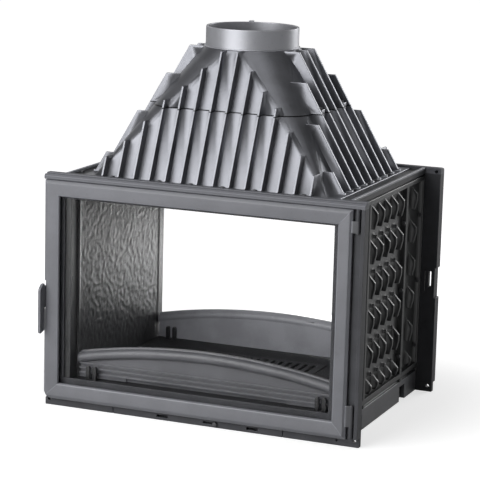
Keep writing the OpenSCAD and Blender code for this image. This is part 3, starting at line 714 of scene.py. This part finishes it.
def lining_block(node, sign):
    """A block in a lining's place, with a fine mesh on the face that looks into the firebox."""
    low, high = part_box(node)
    bpy.ops.object.select_all(action="DESELECT")
    bpy.ops.mesh.primitive_cube_add(size=1, location=(low + high) / 2)
    piece = bpy.context.object
    piece.name = "relief_" + node
    piece.scale = high - low
    bpy.ops.object.transform_apply(location=True, rotation=True, scale=True)
    bpy.ops.object.mode_set(mode="EDIT")
    mesh = bmesh.from_edit_mesh(piece.data)
    bpy.ops.mesh.select_mode(type="FACE")
    bpy.ops.mesh.select_all(action="DESELECT")
    for face in mesh.faces:
        face.select_set(face.normal.x * sign < -0.5)
    bmesh.update_edit_mesh(piece.data)
    bpy.ops.mesh.inset(thickness=sizes().relief_border, depth=0)
    bpy.ops.mesh.subdivide(number_cuts=RELIEF_CUTS)
    bpy.ops.object.mode_set(mode="OBJECT")
    return piece


def press_relief(piece, node, sign):
    """Presses the relief into the fine mesh, and lets it run out at the plain border."""
    low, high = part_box(node)
    inner = low.x if sign > 0 else high.x
    border = sizes().relief_border
    for vertex in piece.data.vertices:
        y, z = vertex.co.y, vertex.co.z
        inside = min(y - low.y, high.y - y, z - low.z, high.z - z) - border
        if abs(vertex.co.x - inner) < SAME_PLACE and inside > -SAME_PLACE:
            rise = min(1.0, inside / RELIEF_RUN_IN)
            drop = 1.0 - rise * relief_height(y, z, RELIEF_SEED + sign)
            vertex.co.x += sign * sizes().relief * drop * min(1.0, RELIEF_START + rise)


class INSERT_OT_linings(bpy.types.Operator):
    """Side linings with a hammered relief, with painted shade towards the top"""
    bl_idname = "insert.linings"
    bl_label = "Side linings"

    def execute(self, context):
        # The top of the linings is painted darker, as painted shade under the frames' top bars
        painted_shade_at_top = patch_near("left_lining", "Z", start=0.18, full=0.0, factor=0.3)
        finish = pair("lining_iron", shades().lining_iron, rough=0.36, grain=0.5, mottle=0.2, specular=0.35,
                      wear_and_highlight=1.2, soot=0.35, patch=painted_shade_at_top)
        # Without a seed the bends of the relief would differ from run to run
        noise.seed_set(BEND_DRAW)
        for node, sign in (("left_lining", -1), ("right_lining", 1)):
            piece = lining_block(node, sign)
            press_relief(piece, node, sign)
            for material in finish:
                piece.data.materials.append(material)
            bpy.ops.object.shade_smooth_by_angle(angle=math.radians(RELIEF_SMOOTH_ANGLE))
            settle(piece, node)
        return {"FINISHED"}


class INSERT_OT_guards(bpy.types.Operator):
    """Log guards, the rear one, which stands in shade, in an iron painted paler as painted light, and the
    forks that hold them
    """
    bl_idname = "insert.guards"
    bl_label = "Log guards"

    def execute(self, context):
        forks = pair("fork_iron", scaled(shades().hearth_iron, factor=0.2), rough=0.30, grain=0.5, mottle=0.1,
                     specular=0.7, wear_and_highlight=2.5)
        # The rear guard's paler iron is painted light that makes up for the shade it stands in
        for side, tone_and_painted_light in zip(SIDES, (1.65, 5.0)):
            finish = pair(side + "_guard_iron", scaled(shades().hearth_iron, tone_and_painted_light), rough=0.40, grain=0.5,
                          mottle=0.1, wear_and_highlight=1.3)
            casting(side + "_log_guard", sizes().guard_edge, *finish)
            casting(side + "_guard_brackets", sizes().small_edge, *forks)
        return {"FINISHED"}


class INSERT_OT_grate(bpy.types.Operator):
    """Grate and ash pan"""
    bl_idname = "insert.grate"
    bl_label = "Grate and ash pan"

    def execute(self, context):
        finish = pair("grate_iron", scaled(shades().hearth_iron, factor=0.5), rough=0.55, grain=1.2,
                      mottle=0.2, specular=0.25, soot=0.5)
        sheet = bare_steel("sheet_steel", shades().sheet, rough=0.5, metal=0.8)
        casting("grate", sizes().hearth_edge, *finish)
        casting("ash_pan", sizes().small_edge, sheet)
        return {"FINISHED"}


class INSERT_OT_fasteners(bpy.types.Operator):
    """Bolts of the hood, top plate, side seams and frames"""
    bl_idname = "insert.fasteners"
    bl_label = "Fasteners"

    def execute(self, context):
        for node in ("hood_bolts", "hood_seam_bolts", "top_plate_bolts", "side_seam_bolts", "frame_bolts"):
            casting(node, sizes().small_edge, dull_steel())
        return {"FINISHED"}


# Stage

def seen_directly(finish, in_gloss):
    """1 for rays that show the background in the picture or through glass, and in_gloss for a gloss's."""
    camera, through, glossy = (finish.node("ShaderNodeLightPath", output=name)
                               for name in ("Is Camera Ray", "Is Transmission Ray", "Is Glossy Ray"))
    return (camera + through + glossy * in_gloss).clamped()


def add_floor(stage):
    """A large floor that keeps the object's shadow, and glows white farther off."""
    bpy.ops.object.select_all(action="DESELECT")
    bpy.ops.mesh.primitive_plane_add(size=FLOOR_SIZE, location=(0, 0, 0))
    floor = bpy.context.object
    floor.name = "floor"
    paper = new_finish("floor_paper")
    pale = paper.node("ShaderNodeBsdfDiffuse", {}, {"Color": FLOOR_COLOUR})
    away = paper.node("ShaderNodeVectorMath", {"operation": "LENGTH"}, {0: paper.place}, output=1)
    strength = GLOW_NEAR + away.ramp(*GLOW_RANGE) * (1.0 - GLOW_NEAR)
    strength = seen_directly(paper, stage.gloss) * strength
    glow = paper.node("ShaderNodeEmission", {}, {"Color": WHITE, "Strength": strength})
    floor.data.materials.append(paper.close(paper.node("ShaderNodeAddShader", {}, {0: pale, 1: glow})))


def add_surroundings(scene, stage):
    """White where it is seen, less white in a gloss towards the ceiling, and a faint light all round."""
    scene.world = bpy.data.worlds.new("Surroundings")
    sky = Finish(scene.world, coordinates="Generated", end="ShaderNodeOutputWorld")
    fade = sky.along("Z").ramp(*FADE_RANGE)
    strength = seen_directly(sky, 1.0 - fade * (1.0 - stage.ceiling))
    strength = stage.ambient + strength * (1.0 - stage.ambient)
    sky.close(sky.node("ShaderNodeBackground", {}, {"Color": WHITE, "Strength": strength}))


def add_lamp(name, azimuth, elevation, distance, width, height, watts):
    """Soft rectangular lamp; azimuth and elevation say where it stands as seen from the point it aims at."""
    azimuth, elevation = math.radians(azimuth), math.radians(elevation)
    away = Vector((math.cos(azimuth) * math.cos(elevation), math.sin(azimuth) * math.cos(elevation),
                   math.sin(elevation)))
    data = bpy.data.lights.new(name, "AREA")
    data.shape = "RECTANGLE"
    data.size = width
    data.size_y = height
    data.energy = watts
    piece = bpy.data.objects.new(name, data)
    bpy.context.scene.collection.objects.link(piece)
    piece.location = Vector(LAMP_AIM) + away * distance
    piece.rotation_euler = away.to_track_quat("Z", "Y").to_euler()


def add_camera(scene):
    """The photograph's camera."""
    yaw, pitch, roll = (math.radians(angle) for angle in (CAMERA_YAW, CAMERA_PITCH, CAMERA_ROLL))
    forward = Vector((math.sin(yaw) * math.cos(pitch), math.cos(yaw) * math.cos(pitch), math.sin(pitch)))
    level = Vector((math.cos(yaw), -math.sin(yaw), 0.0))
    above = level.cross(forward)
    right = math.cos(roll) * level + math.sin(roll) * above
    up = math.cos(roll) * above - math.sin(roll) * level
    data = bpy.data.cameras.new("Camera")
    data.sensor_width = SENSOR_WIDTH
    data.lens = FOCAL_PIXELS / PICTURE_PIXELS * SENSOR_WIDTH
    data.clip_end = CAMERA_REACH
    camera = bpy.data.objects.new("Camera", data)
    scene.collection.objects.link(camera)
    turn = Matrix((right, up, -forward)).transposed()
    camera.matrix_world = Matrix.Translation(CAMERA_PLACE) @ turn.to_4x4()
    scene.camera = camera


class INSERT_OT_stage(bpy.types.Operator):
    """Floor, white surroundings, lamps and camera"""
    bl_idname = "insert.stage"
    bl_label = "Stage"

    def execute(self, context):
        scene = context.scene
        stage = scene.insert_stage
        scene.view_settings.view_transform = "Standard"
        add_floor(stage)
        add_surroundings(scene, stage)
        for *measures, strength in LAMPS:
            add_lamp(*measures, getattr(stage, strength))
        add_camera(scene)
        return {"FINISHED"}


OPERATORS = (
    INSERT_OT_frames, INSERT_OT_doors, INSERT_OT_glazing, INSERT_OT_handles, INSERT_OT_hinges,
    INSERT_OT_air_controls, INSERT_OT_side_castings, INSERT_OT_plates, INSERT_OT_hood, INSERT_OT_collar,
    INSERT_OT_baffle, INSERT_OT_linings, INSERT_OT_guards, INSERT_OT_grate, INSERT_OT_fasteners,
    INSERT_OT_stage,
)


class INSERT_PT_pieces(bpy.types.Panel):
    """Lists the pieces of the insert, their sizes and colours, and the lamps"""
    bl_idname = "INSERT_PT_pieces"
    bl_label = "Fireplace insert"
    bl_space_type = "VIEW_3D"
    bl_region_type = "UI"
    bl_category = "Insert"

    def draw(self, context):
        for group in (context.scene.insert_sizes, context.scene.insert_colours, context.scene.insert_stage):
            box = self.layout.box()
            for name in group.__annotations__:
                box.prop(group, name)
        for operator in OPERATORS:
            self.layout.operator(operator.bl_idname)


CLASSES = (INSERT_PG_sizes, INSERT_PG_colours, INSERT_PG_stage) + OPERATORS + (INSERT_PT_pieces,)


def register():
    for cls in CLASSES:
        bpy.utils.register_class(cls)
    bpy.types.Scene.insert_sizes = PointerProperty(type=INSERT_PG_sizes)
    bpy.types.Scene.insert_colours = PointerProperty(type=INSERT_PG_colours)
    bpy.types.Scene.insert_stage = PointerProperty(type=INSERT_PG_stage)


def unregister():
    del bpy.types.Scene.insert_stage
    del bpy.types.Scene.insert_colours
    del bpy.types.Scene.insert_sizes
    for cls in reversed(CLASSES):
        bpy.utils.unregister_class(cls)


def main():
    register()
    for operator in OPERATORS:
        group, name = operator.bl_idname.split(".")
        getattr(getattr(bpy.ops, group), name)()


if __name__ == "__main__":
    main()
